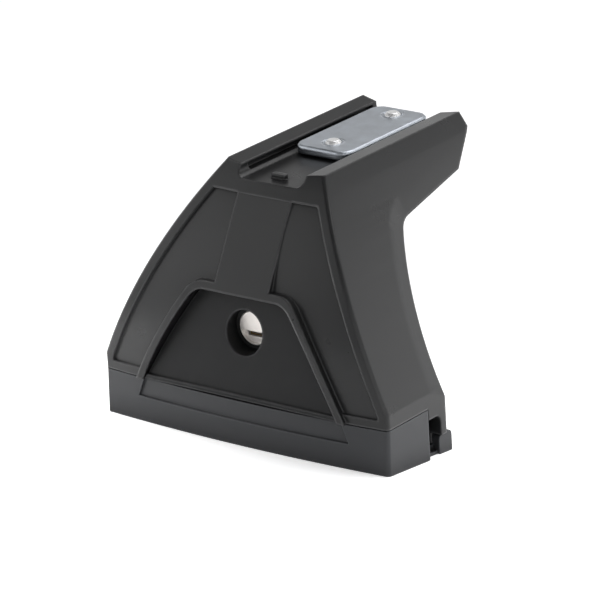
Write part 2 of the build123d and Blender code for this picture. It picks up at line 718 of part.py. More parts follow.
# Door with the tube that holds the lock
with BuildPart() as door_panel:
    with BuildSketch(FRONT.offset(AHEAD)):
        with Locations((0, LOCK_Z)):
            Circle(HOLE_R + TUBE_WALL)
    extrude(amount=-AHEAD - TUBE_END)
    with BuildSketch(SIDE):
        with BuildLine():
            Polyline(
                (door_y(SEAM), SEAM),
                (door_y(COLLAR_TOP), COLLAR_TOP),
                (REAR, COLLAR_TOP),
                (REAR, SEAM),
                close=True,
            )
        make_face()
    extrude(amount=across, both=True, mode=Mode.INTERSECT)
    add(door_plate.part)
    with BuildSketch(FRONT.offset(-flange_back)):
        with Locations((0, LOCK_Z)):
            Circle(HOLE_R)
    extrude(amount=flange_back + AHEAD, mode=Mode.SUBTRACT)
    with BuildSketch(FRONT):
        with Locations((0, LOCK_Z)):
            Circle(barrel_r + PRESS_FIT)
    extrude(amount=-TUBE_END - AHEAD, mode=Mode.SUBTRACT)
door_panel.part.label = "door_panel"
export_step(door_panel.part, "parts/door_panel.step")

# Lock sleeve with its flange at the bottom of the door's hole
with BuildPart() as lock_sleeve:
    with BuildSketch(FRONT.offset(-flange_front)):
        with Locations((0, LOCK_Z)):
            Circle(HOLE_R - FLANGE_FIT)
    extrude(amount=-FLANGE_THICK)
    with BuildSketch(FRONT.offset(-flange_back)):
        with Locations((0, LOCK_Z)):
            Circle(barrel_r)
    extrude(amount=flange_back - sleeve_end)
    with BuildSketch(FRONT):
        with Locations((0, LOCK_Z)):
            Circle(CORE_R + RUN_FIT)
    extrude(amount=-2 * sleeve_end, mode=Mode.SUBTRACT)
lock_sleeve.part.label = "lock_sleeve"
export_step(lock_sleeve.part, "parts/lock_sleeve.step")

# Nut that pulls the sleeve against the door's tube
with BuildPart() as lock_nut:
    with BuildSketch(FRONT.offset(-TUBE_END)):
        with Locations((0, LOCK_Z)):
            RegularPolygon(NUT_FLATS / 2, 6, major_radius=False)
            Circle(barrel_r + PRESS_FIT, mode=Mode.SUBTRACT)
    extrude(amount=-NUT_THICK)
lock_nut.part.label = "lock_nut"
export_step(lock_nut.part, "parts/lock_nut.step")

# Key plug with a stepped face, keyway under the step, wafer slots and square tail
key_z = LOCK_Z - FACE_STEP - KEY_HEIGHT / 2
wafer_planes = [FRONT.offset(-LOCK_FACE - WAFER_FIRST - i * WAFER_PITCH) for i in range(WAFER_COUNT)]
key_depth = WAFER_FIRST + (WAFER_COUNT - 1) * WAFER_PITCH + WAFER_THICK + WAFER_FIT
with BuildPart() as lock_core:
    with BuildSketch(FRONT.offset(-LOCK_FACE)):
        with Locations((0, LOCK_Z)):
            Circle(CORE_R)
    extrude(amount=LOCK_FACE - cam_front)
    chamfer(lock_core.faces().sort_by(depth_axis)[0].edges(), CORE_CHAMFER)
    with BuildSketch(FRONT.offset(-cam_front)):
        with Locations((0, LOCK_Z)):
            Rectangle(TAIL_SQUARE, TAIL_SQUARE)
    extrude(amount=-CAM_THICK)
    with BuildSketch(FRONT.offset(-LOCK_FACE)):
        with Locations((0, LOCK_Z)):
            Circle(CORE_R - FACE_RIM)
        with Locations((0, LOCK_Z - FACE_STEP)):
            Rectangle(2 * CORE_R, CORE_R, align=(Align.CENTER, Align.MAX), mode=Mode.INTERSECT)
    extrude(amount=-FACE_RECESS, mode=Mode.SUBTRACT)
    with BuildSketch(FRONT.offset(-LOCK_FACE)):
        with Locations((0, key_z)):
            Rectangle(KEY_WIDTH, KEY_HEIGHT)
    extrude(amount=-key_depth, mode=Mode.SUBTRACT)
    with BuildSketch(*wafer_planes):
        with Locations((0, LOCK_Z)):
            Rectangle(WAFER_WIDTH + 2 * WAFER_FIT, WAFER_HEIGHT + 2 * WAFER_FIT)
    extrude(amount=-WAFER_THICK - WAFER_FIT, mode=Mode.SUBTRACT)
    with BuildSketch(FRONT.offset(-cam_rear)):
        with Locations((0, LOCK_Z)):
            Circle(CAM_SCREW_R + PRESS_FIT)
    extrude(amount=CAM_SCREW_LENGTH, mode=Mode.SUBTRACT)
lock_core.part.label = "lock_core"
export_step(lock_core.part, "parts/lock_core.step")

# Wafers, each with a window for the key
with BuildPart() as lock_wafers:
    with BuildSketch(*wafer_planes):
        with Locations((0, LOCK_Z)):
            Rectangle(WAFER_WIDTH, WAFER_HEIGHT)
        with Locations((0, key_z)):
            Rectangle(KEY_WIDTH, KEY_HEIGHT, mode=Mode.SUBTRACT)
    extrude(amount=-WAFER_THICK)
lock_wafers.part.label = "lock_wafers"
export_step(lock_wafers.part, "parts/lock_wafers.step")

# Cam on the plug's tail, at rest turned aside so that the door is free
with BuildPart() as lock_cam:
    with BuildSketch(FRONT.offset(-cam_front)):
        with Locations((0, LOCK_Z)):
            Circle(CORE_R)
            cam_arm = Rectangle(CAM_REACH, 2 * CAM_HALF, align=(Align.MAX, Align.CENTER))
        fillet(cam_arm.vertices().group_by(Axis.X)[0], CAM_ROUND)
        with Locations((0, LOCK_Z)):
            Rectangle(TAIL_SQUARE + 2 * PRESS_FIT, TAIL_SQUARE + 2 * PRESS_FIT, mode=Mode.SUBTRACT)
    extrude(amount=-CAM_THICK)
lock_cam.part.label = "lock_cam"
export_step(lock_cam.part, "parts/lock_cam.step")

# Screw that holds the cam on the tail
with BuildPart() as cam_screw:
    with BuildSketch(FRONT.offset(-cam_rear)):
        with Locations((0, LOCK_Z)):
            Circle(CAM_SCREW_HEAD_R)
    extrude(amount=-CAM_SCREW_HEAD)
    with BuildSketch(FRONT.offset(-cam_rear)):
        with Locations((0, LOCK_Z)):
            Circle(CAM_SCREW_R)
    extrude(amount=CAM_SCREW_LENGTH - PRESS_FIT)
    with BuildSketch(FRONT.offset(-cam_rear - CAM_SCREW_HEAD)):
        with Locations((0, LOCK_Z)):
            Rectangle(2 * CAM_SCREW_HEAD_R, CAM_SCREW_SLOT)
    extrude(amount=CAM_SCREW_SLOT_DEPTH, mode=Mode.SUBTRACT)
cam_screw.part.label = "cam_screw"
export_step(cam_screw.part, "parts/cam_screw.step")

# Clamp plate with rounded corners and broken edges
with BuildPart() as clamp_plate:
    with BuildSketch(TOWER.offset(plate_foot)):
        with Locations((0, (PLATE_FRONT + PLATE_REAR) / 2)):
            RectangleRounded(2 * PLATE_HALF, PLATE_REAR - PLATE_FRONT, PLATE_CORNER)
    extrude(amount=PLATE_THICK)
    chamfer(clamp_plate.faces().sort_by(height_axis)[-1].edges(), PLATE_EDGE)
    with BuildSketch(TOWER.offset(plate_foot)):
        with Locations(*screw_points):
            Circle(INSERT_R + PRESS_FIT)
    extrude(amount=PLATE_THICK, mode=Mode.SUBTRACT)
clamp_plate.part.label = "clamp_plate"
export_step(clamp_plate.part, "parts/clamp_plate.step")

# Threaded bushes pressed flush into the clamp plate, with a dished top
with BuildPart() as plate_inserts:
    with BuildSketch(TOWER.offset(plate_foot)):
        with Locations(*screw_points):
            Circle(INSERT_R)
            Circle(SCREW_R + THREAD_FIT, mode=Mode.SUBTRACT)
    extrude(amount=PLATE_THICK)
    top_rims = plate_inserts.edges().filter_by(GeomType.CIRCLE).group_by(height_axis)[-1]
    chamfer(top_rims.sort_by(SortBy.RADIUS)[: len(screw_points)], INSERT_DISH)
plate_inserts.part.label = "plate_inserts"
export_step(plate_inserts.part, "parts/plate_inserts.step")

# Washers under the channel floor
with BuildPart() as clamp_washers:
    with BuildSketch(TOWER.offset(ceiling - WASHER_THICK)):
        with Locations(*screw_points):
            Circle(WASHER_R)
            Circle(SCREW_HOLE_R, mode=Mode.SUBTRACT)
    extrude(amount=WASHER_THICK)
clamp_washers.part.label = "clamp_washers"
export_step(clamp_washers.part, "parts/clamp_washers.step")


def clamp_screw(y):
    """Socket screw up through the channel floor, with a blunt point above the plate."""
    with BuildPart() as screw:
        with BuildSketch(TOWER.offset(head_top)):
            with Locations((0, y)):
                Circle(SCREW_HEAD_R)
        extrude(amount=-SCREW_HEAD)
        with BuildSketch(TOWER.offset(head_top)):
            with Locations((0, y)):
                Circle(SCREW_R)
        extrude(amount=screw_tip - head_top)
        chamfer(screw.faces().sort_by(height_axis)[-1].edges(), SCREW_POINT)
        with BuildSketch(TOWER.offset(head_top - SCREW_HEAD)):
            with Locations((0, y)):
                RegularPolygon(SOCKET_FLATS / 2, 6, major_radius=False)
        extrude(amount=SOCKET_DEPTH, mode=Mode.SUBTRACT)
    return screw.part


def screw_clip(y):
    """Clip pushed onto the screw above the channel floor."""
    with BuildPart() as clip:
        with BuildSketch(TOWER.offset(clip_foot)):
            with Locations((0, y)):
                Circle(CLIP_R)
                Circle(SCREW_R + PRESS_FIT, mode=Mode.SUBTRACT)
        extrude(amount=CLIP_THICK)
    return clip.part


clamp_screw_front = clamp_screw(SCREW_FRONT_Y)
clamp_screw_front.label = "clamp_screw_front"
export_step(clamp_screw_front, "parts/clamp_screw_front.step")

clamp_screw_rear = clamp_screw(SCREW_REAR_Y)
clamp_screw_rear.label = "clamp_screw_rear"
export_step(clamp_screw_rear, "parts/clamp_screw_rear.step")

screw_clip_front = screw_clip(SCREW_FRONT_Y)
screw_clip_front.label = "screw_clip_front"
export_step(screw_clip_front, "parts/screw_clip_front.step")

screw_clip_rear = screw_clip(SCREW_REAR_Y)
screw_clip_rear.label = "screw_clip_rear"
export_step(screw_clip_rear, "parts/screw_clip_rear.step")
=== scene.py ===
# Roof bar foot: moulded tower on a wedge boot, with its lock door and bar clamp
import json
from math import radians

import bmesh
import bpy
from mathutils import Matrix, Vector


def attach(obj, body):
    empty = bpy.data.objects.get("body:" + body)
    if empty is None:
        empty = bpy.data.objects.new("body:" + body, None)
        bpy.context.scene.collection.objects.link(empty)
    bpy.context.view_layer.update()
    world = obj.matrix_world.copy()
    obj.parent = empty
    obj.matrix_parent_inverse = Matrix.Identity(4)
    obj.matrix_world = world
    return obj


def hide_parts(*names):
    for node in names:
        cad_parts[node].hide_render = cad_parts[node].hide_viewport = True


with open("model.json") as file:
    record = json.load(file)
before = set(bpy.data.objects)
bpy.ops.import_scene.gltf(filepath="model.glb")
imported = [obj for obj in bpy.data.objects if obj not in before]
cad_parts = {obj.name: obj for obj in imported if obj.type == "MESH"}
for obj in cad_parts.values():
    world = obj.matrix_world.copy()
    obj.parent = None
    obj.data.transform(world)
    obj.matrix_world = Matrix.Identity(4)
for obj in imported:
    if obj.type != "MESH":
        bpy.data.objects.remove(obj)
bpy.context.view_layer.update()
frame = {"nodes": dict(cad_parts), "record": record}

bl_info = {
    "name": "Roof bar foot",
    "version": (1, 0, 0),
    "blender": (4, 5, 0),
    "location": "3D View > Sidebar > Foot",
    "description": "Dresses the roof bar foot and sets it in a plain studio",
    "category": "Object",
}

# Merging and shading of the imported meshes
MERGE_DISTANCE = 0.00001
CREASE_ANGLE = radians(20.0)
FACE_WEIGHT = 100

# Width of the softened edges of small pieces, and number of rays that look for edges and corners
SMALL_ROUND = 0.00015
EDGE_SAMPLES = 8

# Roughness and refraction of the moulded finishes
TOWER_GLOSS = (0.3, 1.36)
# The door's copy reflects less, as painted shade for its recess
DOOR_SHADE_GLOSS = (0.36, 1.24)
BOOT_GLOSS = (0.4, 1.4)
SLEEVE_GLOSS = (0.5, 1.4)

# Change of tone and roughness over a moulded surface, and strength of its grain
MOULDED_TONE = 0.12
MOULDED_ROUGH = 0.03
GRAIN_STRENGTH = 0.5

# Painted highlight on outer edges: width, openness where it starts and is full, and how much paler it is
# on the boot
HIGHLIGHT_WIDTH = 0.0008
HIGHLIGHT_START = 0.97
HIGHLIGHT_FULL = 0.72
BOOT_HIGHLIGHT = 1.6

# Patches in the painted edge highlight: contrast and least share
PATCH_CONTRAST = 0.8
PATCH_LEAST = 0.4

# Reach of the shade painted into corners and recesses, and roughness that it adds
SHADE_REACH = 0.009
SHADE_ROUGH = 0.3

# Size of the clouds, roughness, change of tone and share of metal of the plated finishes
ZINC_PLATING = (0.005, 0.34, 0.28, 1.0)
STEEL_PLATING = (0.002, 0.32, 0.08, 0.6)
NICKEL_PLATING = (0.003, 0.42, 0.06, 0.65)
BRASS_PLATING = (0.002, 0.3, 0.1, 1.0)

# Change of roughness over a plated surface, and depth and strength of its pits
PLATED_ROUGH = 0.05
PIT_DEPTH = 0.000008
PIT_STRENGTH = 0.3

# Noises of the shared groups, where grain and clouds take their scale from a size
GRAIN_NOISE = {"Detail": 2.0, "Roughness": 0.55}
SHEEN_NOISE = {"Scale": 55.0, "Detail": 3.0, "Roughness": 0.6}
CLOUD_NOISE = {"Detail": 4.0, "Roughness": 0.6, "Distortion": 0.4}
PIT_NOISE = {"Scale": 2600.0, "Detail": 2.0}
PATCH_NOISE = {"Scale": 400.0, "Detail": 3.0}

# Part of a noise's range that is used
NOISE_LOW = 0.3
NOISE_HIGH = 0.7

# Turn of a rib that sets one of its edges outward
RIB_TURN = radians(45.0)

# Sockets of a colour Mix node
MIX_SHARE = 0
MIX_FIRST = 6
MIX_SECOND = 7
MIX_RESULT = 2

# Plain colours
BLACK = (0.0, 0.0, 0.0, 1.0)
WHITE = (1.0, 1.0, 1.0, 1.0)

# Brightness of the studio in reflections by height above the horizon
SKY_LEVELS = ((0.22, 1.0), (0.32, 0.9), (0.42, 0.55), (0.52, 0.25), (0.7, 0.15))

# Share of that brightness in front, where it passes into the full one behind, and light from all round
SKY_FRONT = 0.7
SKY_TURN = 0.4
SKY_FILL = (0.15, 0.15, 0.155, 1.0)

# Floor and camera
FLOOR_HALF = 4.0
FLOOR_LEVEL = -0.0002
SENSOR_WIDTH = 36.0

# Place and size of each large softbox, the point that they face, and their spread
LARGE_LAMPS = {
    "left": ((-1.2, -0.94, 0.55), 1.2),
    "right": ((0.98, 0.98, 0.32), 1.2),
    "top": ((0.0, 0.6, 1.4), 1.2),
    "front": ((1.05, -0.75, 0.35), 1.3),
}
LAMP_AIM = (0.0, 0.02, 0.05)
LAMP_SPREAD = radians(180.0)

# Place and share of power of each small softbox over the floor, and their height, size and spread
FLOOR_LAMPS = {
    "floor_left": (-0.19, -0.1, 1.0),
    "floor_right": (0.19, 0.08, 0.75),
}
FLOOR_LAMP_HEIGHT = 0.2
FLOOR_LAMP_SIZE = 0.2
FLOOR_LAMP_SPREAD = radians(100.0)


# Values that a user would change

class FootFinish(bpy.types.PropertyGroup):
    """Colours and surface of the finishes."""

    tower_colour: bpy.props.FloatVectorProperty(
        name="Tower plastic", description="Colour of the moulded tower and the door in it",
        subtype="COLOR", size=3, min=0.0, max=1.0, default=(0.0105, 0.0107, 0.0112),
    )
    boot_colour: bpy.props.FloatVectorProperty(
        name="Boot rubber", description="Colour of the boot under the tower",
        subtype="COLOR", size=3, min=0.0, max=1.0, default=(0.019, 0.0202, 0.023),
    )
    zinc_colour: bpy.props.FloatVectorProperty(
        name="Zinc plating", description="Colour of the plates, the bushes, the base screws and the cam",
        subtype="COLOR", size=3, min=0.0, max=1.0, default=(0.41, 0.44, 0.48),
    )
    steel_colour: bpy.props.FloatVectorProperty(
        name="Bright steel", description="Colour of the clamp screws with their washers and clips",
        subtype="COLOR", size=3, min=0.0, max=1.0, default=(0.80, 0.80, 0.80),
    )
    nickel_colour: bpy.props.FloatVectorProperty(
        name="Lock nickel", description="Colour of the key plug and the lock's nut",
        subtype="COLOR", size=3, min=0.0, max=1.0, default=(0.66, 0.63, 0.60),
    )
    brass_colour: bpy.props.FloatVectorProperty(
        name="Insert brass", description="Colour of the wafers and the boss inserts",
        subtype="COLOR", size=3, min=0.0, max=1.0, default=(0.62, 0.47, 0.22),
    )
    black_colour: bpy.props.FloatVectorProperty(
        name="Lock black", description="Colour of the sleeve round the key plug",
        subtype="COLOR", size=3, min=0.0, max=1.0, default=(0.008, 0.008, 0.008),
    )
    # Colour of the highlight painted on the outer edges of the tower and door
    highlit_colour: bpy.props.FloatVectorProperty(
        name="Rubbed edges", description="Colour of the rubbed edges of the tower and door",
        subtype="COLOR", size=3, min=0.0, max=1.0, default=(0.042, 0.042, 0.0435),
    )
    grain_size: bpy.props.FloatProperty(
        name="Grain size", description="Width of one grain of the moulded surface",
        unit="LENGTH", min=0.0001, max=0.005, default=0.00045,
    )
    grain_depth: bpy.props.FloatProperty(
        name="Grain depth", description="Depth of the moulded grain",
        unit="LENGTH", min=0.0, max=0.001, default=0.00003,
    )


class FootEdges(bpy.types.PropertyGroup):
    """Widths over which the finishes soften the edges."""

    tower_round: bpy.props.FloatProperty(
        name="Tower edges", description="Width of the softened edges of the tower and door",
        unit="LENGTH", min=0.0, max=0.003, default=0.0011,
    )
    boot_round: bpy.props.FloatProperty(
        name="Boot edges", description="Width of the softened edges of the boot",
        unit="LENGTH", min=0.0, max=0.003, default=0.0006,
    )
    plate_round: bpy.props.FloatProperty(
        name="Plate edges", description="Width of the softened edges of zinc-plated pieces",
        unit="LENGTH", min=0.0, max=0.003, default=0.0012,
    )
    screw_round: bpy.props.FloatProperty(
        name="Screw edges", description="Width of the softened edges of the screws, washers and clips",
        unit="LENGTH", min=0.0, max=0.003, default=0.0005,
    )
    plug_round: bpy.props.FloatProperty(
        name="Plug edges", description="Width of the softened edges of the key plug and the lock's nut",
        unit="LENGTH", min=0.0, max=0.003, default=0.00028,
    )


class FootScrews(bpy.types.PropertyGroup):
    """Knurl round the heads of the clamp screws."""

    rib_count: bpy.props.IntProperty(
        name="Ribs", description="Ribs round one head", min=6, max=120, default=44,
    )
    rib_width: bpy.props.FloatProperty(
        name="Rib width", description="Width of one rib",
        unit="LENGTH", min=0.0001, max=0.002, default=0.0004,
    )
    rib_margin: bpy.props.FloatProperty(
        name="Rib margin", description="Plain band at each end of the head",
        unit="LENGTH", min=0.0, max=0.002, default=0.0006,
    )
    head_height: bpy.props.FloatProperty(
        name="Head height", description="Height of the screw's head",
        unit="LENGTH", min=0.001, max=0.02, default=0.004,
    )


class FootStudio(bpy.types.PropertyGroup):
    """Camera, floor and lamps."""

    camera_place: bpy.props.FloatVectorProperty(
        name="Camera", description="Place of the camera",
        subtype="TRANSLATION", size=3, default=(0.9161, -1.1660, 0.4685),
    )
    camera_aim: bpy.props.FloatVectorProperty(
        name="Aim", description="Point that the camera looks at",
        subtype="TRANSLATION", size=3, default=(0.0149, -0.0053, 0.0524),
    )
    lens: bpy.props.FloatProperty(
        name="Lens", description="Focal length in millimetres on a 36 mm sensor",
        min=20.0, max=600.0, default=261.65,
    )
    floor_colour: bpy.props.FloatVectorProperty(
        name="Floor", description="Colour of the floor",
        subtype="COLOR", size=3, min=0.0, max=1.0, default=(0.88, 0.88, 0.88),
    )
    floor_lift: bpy.props.FloatProperty(
        name="Floor lift", description="Light that the floor gives to the camera, so that it shows white",
        min=0.0, max=1.0, default=0.42,
    )
    left_power: bpy.props.FloatProperty(
        name="Left lamp", description="Power of the left softbox",
        unit="POWER", min=0.0, max=100.0, default=6.0,
    )
    right_power: bpy.props.FloatProperty(
        name="Right lamp", description="Power of the right softbox",
        unit="POWER", min=0.0, max=100.0, default=6.0,
    )
    front_power: bpy.props.FloatProperty(
        name="Front lamp", description="Power of the softbox in front",
        unit="POWER", min=0.0, max=100.0, default=8.0,
    )
    floor_power: bpy.props.FloatProperty(
        name="Floor lamps", description="Power of the small softboxes over the floor",
        unit="POWER", min=0.0, max=100.0, default=0.5,
    )
    top_power: bpy.props.FloatProperty(
        name="Top lamp", description="Power of the overhead softbox",
        unit="POWER", min=0.0, max=100.0, default=13.0,
    )


# Nodes

def lead(tree, value, socket):
    """Links a socket to another one, or sets it to a plain value."""
    if isinstance(value, bpy.types.NodeSocket):
        tree.links.new(value, socket)
    else:
        socket.default_value = value


def add_node(tree, kind, inputs):
    """Adds a node, with its inputs led from sockets or set to values by name."""
    node = tree.nodes.new(kind)
    for name, value in inputs.items():
        lead(tree, value, node.inputs[name])
    return node


def math_node(tree, operation, first, second):
    """Result of a Math node whose two inputs are numbers or sockets."""
    node = tree.nodes.new("ShaderNodeMath")
    node.operation = operation
    lead(tree, first, node.inputs[0])
    lead(tree, second, node.inputs[1])
    return node.outputs[0]


def mix_node(tree, share, first, second):
    """Mix of two colours by a share, each of them a value or a socket."""
    node = tree.nodes.new("ShaderNodeMix")
    node.data_type = "RGBA"
    lead(tree, share, node.inputs[MIX_SHARE])
    lead(tree, first, node.inputs[MIX_FIRST])
    lead(tree, second, node.inputs[MIX_SECOND])
    return node.outputs[MIX_RESULT]


# Shader groups that several finishes share

def start_group(name, inputs, outputs):
    """A shader group with float sockets of these names, and a vector for the place."""
    group = bpy.data.node_groups.new(name, "ShaderNodeTree")
    group.interface.new_socket(name="Place", in_out="INPUT", socket_type="NodeSocketVector")
    for socket in inputs:
        group.interface.new_socket(name=socket, in_out="INPUT", socket_type="NodeSocketFloat")
    for socket in outputs:
        group.interface.new_socket(name=socket, in_out="OUTPUT", socket_type="NodeSocketFloat")
    return group, group.nodes.new("NodeGroupInput").outputs, group.nodes.new("NodeGroupOutput").inputs


def noise(group, place, **inputs):
    """Value of a noise at a place."""
    node = add_node(group, "ShaderNodeTexNoise", {"Vector": place, **inputs})
    return node.outputs["Fac"]


def moulded_grain():
    """Spark-eroded grain of a mould, with a slow change of sheen."""
    group, taken, given = start_group("moulded_grain", ["Size"], ["Height", "Sheen"])
    grains = math_node(group, "DIVIDE", 1.0, taken["Size"])
    lead(group, noise(group, taken["Place"], Scale=grains, **GRAIN_NOISE), given["Height"])
    lead(group, noise(group, taken["Place"], **SHEEN_NOISE), given["Sheen"])
    return group


def plating_mottle():
    """Cloudy change of tone and fine pitting of a plated surface."""
    group, taken, given = start_group("plating_mottle", ["Size"], ["Tone", "Pits"])
    clouds = math_node(group, "DIVIDE", 1.0, taken["Size"])
    lead(group, noise(group, taken["Place"], Scale=clouds, **CLOUD_NOISE), given["Tone"])
    lead(group, noise(group, taken["Place"], **PIT_NOISE), given["Pits"])
    return group


def edge_wear():
    """Painted highlight on outer edges, broken into patches, and painted shade in corners and recesses."""
    group, taken, given = start_group("edge_wear", ["Width", "Reach"], ["Rubbed", "Shaded"])
    inner = add_node(group, "ShaderNodeAmbientOcclusion", {"Distance": taken["Width"]})
    inner.inside = True
    inner.only_local = True
    inner.samples = EDGE_SAMPLES
    # Painted highlight on outer edges, found by short rays inside the piece
    limits = {"Value": inner.outputs["AO"], "From Min": HIGHLIGHT_START, "From Max": HIGHLIGHT_FULL}
    edge_light = add_node(group, "ShaderNodeMapRange", limits)
    patches = noise(group, taken["Place"], **PATCH_NOISE)
    patches = math_node(group, "MULTIPLY", patches, PATCH_CONTRAST)
    patches = math_node(group, "ADD", patches, PATCH_LEAST)
    lead(group, math_node(group, "MULTIPLY", edge_light.outputs["Result"], patches), given["Rubbed"])
    # Painted shade: corners and recesses that nearby surfaces close in
    around = add_node(group, "ShaderNodeAmbientOcclusion", {"Distance": taken["Reach"]})
    around.samples = EDGE_SAMPLES
    lead(group, math_node(group, "SUBTRACT", 1.0, around.outputs["AO"]), given["Shaded"])
    return group


def shared_group(name):
    """The shader group of this name, made when it is first asked for."""
    makers = {"moulded_grain": moulded_grain, "plating_mottle": plating_mottle, "edge_wear": edge_wear}
    return bpy.data.node_groups.get(name) or makers[name]()


# Finishes

def effect_node(tree, group, values):
    """Outputs of a shared group in a material, on the piece's own coordinates."""
    place = tree.nodes.new("ShaderNodeTexCoord")
    effect = tree.nodes.new("ShaderNodeGroup")
    effect.node_tree = shared_group(group)
    lead(tree, place.outputs["Object"], effect.inputs["Place"])
    for name, value in values.items():
        effect.inputs[name].default_value = value
    return effect.outputs


def start_finish(name):
    """A material with its node tree and the inputs of its shader."""
    material = bpy.data.materials.new(name)
    material.use_nodes = True
    return material, material.node_tree, material.node_tree.nodes["Principled BSDF"].inputs


def noise_range(tree, source, middle, change):
    """Maps the middle part of a noise to a range round a value."""
    node = add_node(tree, "ShaderNodeMapRange", {
        "Value": source,
        "From Min": NOISE_LOW,
        "From Max": NOISE_HIGH,
        "To Min": middle - change,
        "To Max": middle + change,
    })
    return node.outputs["Result"]


def tone(tree, source, colour, change):
    """A colour that darkens and lightens a little with a noise."""
    dark = [value * (1.0 - change) for value in colour]
    light = [value * (1.0 + change) for value in colour]
    return mix_node(tree, source, (*dark, 1.0), (*light, 1.0))


def relief(tree, source, depth, strength, edge):
    """Normal of a surface with a height on it, whose edges are softened over a width."""
    soft = add_node(tree, "ShaderNodeBevel", {"Radius": edge})
    soft.samples = EDGE_SAMPLES
    node = add_node(tree, "ShaderNodeBump", {
        "Normal": soft.outputs["Normal"],
        "Distance": depth,
        "Strength": strength,
        "Height": source,
    })
    return node.outputs["Normal"]


def moulded_finish(name, colour, highlit, gloss, edge):
    """Moulded plastic or rubber with a fine grain, a highlight painted on its outer edges and shade
    painted into its corners.
    """
    look = bpy.context.scene.foot_finish
    rough, refraction = gloss
    material, tree, shader = start_finish(name)
    grain = effect_node(tree, "moulded_grain", {"Size": look.grain_size})
    painted_light = effect_node(tree, "edge_wear", {"Width": HIGHLIGHT_WIDTH, "Reach": SHADE_REACH})
    base = tone(tree, grain["Sheen"], colour, MOULDED_TONE)
    # Painted shade: corners and recesses darkened towards black
    base = mix_node(tree, painted_light["Shaded"], base, BLACK)
    # Painted highlight: outer edges made paler in patches
    base = mix_node(tree, painted_light["Rubbed"], base, (*highlit, 1.0))
    lead(tree, base, shader["Base Color"])
    dull = math_node(tree, "MULTIPLY", painted_light["Shaded"], SHADE_ROUGH)
    sheen = noise_range(tree, grain["Sheen"], rough, MOULDED_ROUGH)
    lead(tree, math_node(tree, "ADD", sheen, dull), shader["Roughness"])
    shader["IOR"].default_value = refraction
    lead(tree, relief(tree, grain["Height"], look.grain_depth, GRAIN_STRENGTH, edge), shader["Normal"])
    return material


def plated_finish(name, colour, plating, edge):
    """Plated or plain metal with a cloudy tone."""
    size, rough, change, metal = plating
    material, tree, shader = start_finish(name)
    mottle = effect_node(tree, "plating_mottle", {"Size": size})
    shader["Metallic"].default_value = metal
    lead(tree, tone(tree, mottle["Tone"], colour, change), shader["Base Color"])
    lead(tree, noise_range(tree, mottle["Tone"], rough, PLATED_ROUGH), shader["Roughness"])
    lead(tree, relief(tree, mottle["Pits"], PIT_DEPTH, PIT_STRENGTH, edge), shader["Normal"])
    return material


def shaded_door_finish():
    """A shaded copy of the tower's plastic for the door, duller and less glossy, as painted shade for its
    recess.
    """
    look = bpy.context.scene.foot_finish
    edge = bpy.context.scene.foot_edges.tower_round
    return moulded_finish("finish_door", look.tower_colour, look.highlit_colour, DOOR_SHADE_GLOSS, edge)


def finish_for(slot):
    """The material of one of the record's slots, made when it is first asked for."""
    name = "finish_" + slot
    made = bpy.data.materials.get(name)
    if made:
        return made
    look = bpy.context.scene.foot_finish
    edges = bpy.context.scene.foot_edges
    # The boot's painted edge highlight is paler than the boot
    boot_highlight = [value * BOOT_HIGHLIGHT for value in look.boot_colour]
    moulded = {
        "tower_plastic": (look.tower_colour, look.highlit_colour, TOWER_GLOSS, edges.tower_round),
        "boot_rubber": (look.boot_colour, boot_highlight, BOOT_GLOSS, edges.boot_round),
        "lock_black": (look.black_colour, look.black_colour, SLEEVE_GLOSS, SMALL_ROUND),
    }
    plated = {
        "zinc_steel": (look.zinc_colour, ZINC_PLATING, edges.plate_round),
        "bright_steel": (look.steel_colour, STEEL_PLATING, edges.screw_round),
        "lock_nickel": (look.nickel_colour, NICKEL_PLATING, edges.plug_round),
        "insert_brass": (look.brass_colour, BRASS_PLATING, SMALL_ROUND),
    }
    if slot in moulded:
        return moulded_finish(name, *moulded[slot])
    if slot in plated:
        return plated_finish(name, *plated[slot])
    raise RuntimeError(f"no finish is made for the slot {slot}")


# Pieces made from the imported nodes

def slot_of(node):
    """Material slot that the record gives to a node."""
    for part in frame["record"]["subparts"]:
        if part["node"] == node:
            return part["material_slot"]
    raise RuntimeError(f"the record has no node {node}")


def body_of(node):
    """Body that the record puts a node on."""
    for body, members in frame["record"]["behaviour"]["bodies"].items():
        if node in members:
            return body
    raise RuntimeError(f"no body holds the node {node}")


def joint_of(body):
    """The record's joint that moves a body."""
    for joint in frame["record"]["behaviour"]["joints"]:
        if joint["child"] == body:
            return joint
    raise RuntimeError(f"no joint moves the body {body}")


def paint(piece, finish):
    """Gives a piece one finish all over."""
    piece.data.materials.clear()
    piece.data.materials.append(finish)


def paint_nodes(*nodes):
    """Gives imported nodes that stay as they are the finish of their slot."""
    for node in nodes:
        paint(frame["nodes"][node], finish_for(slot_of(node)))


def merged_mesh(node):
    """Copy of a node's mesh, merged, smooth over its curved faces and sharp at its edges."""
    work = bmesh.new()
    work.from_mesh(frame["nodes"][node].data)
    bmesh.ops.remove_doubles(work, verts=work.verts, dist=MERGE_DISTANCE)
    for face in work.faces:
        face.smooth = True
    for edge in work.edges:
        edge.smooth = edge.calc_face_angle(0.0) < CREASE_ANGLE
    mesh = bpy.data.meshes.new(node)
    work.to_mesh(mesh)
    work.free()
    return mesh


def new_object(name, data):
    """Object of a mesh, lamp or camera at the origin, linked to the scene."""
    made = bpy.data.objects.new(name, data)
    bpy.context.scene.collection.objects.link(made)
    return made


def plain_mesh(piece):
    """Turns a piece with modifiers into a plain mesh."""
    bpy.context.view_layer.update()
    graph = bpy.context.evaluated_depsgraph_get()
    mesh = bpy.data.meshes.new_from_object(piece.evaluated_get(graph))
    piece.modifiers.clear()
    piece.data = mesh


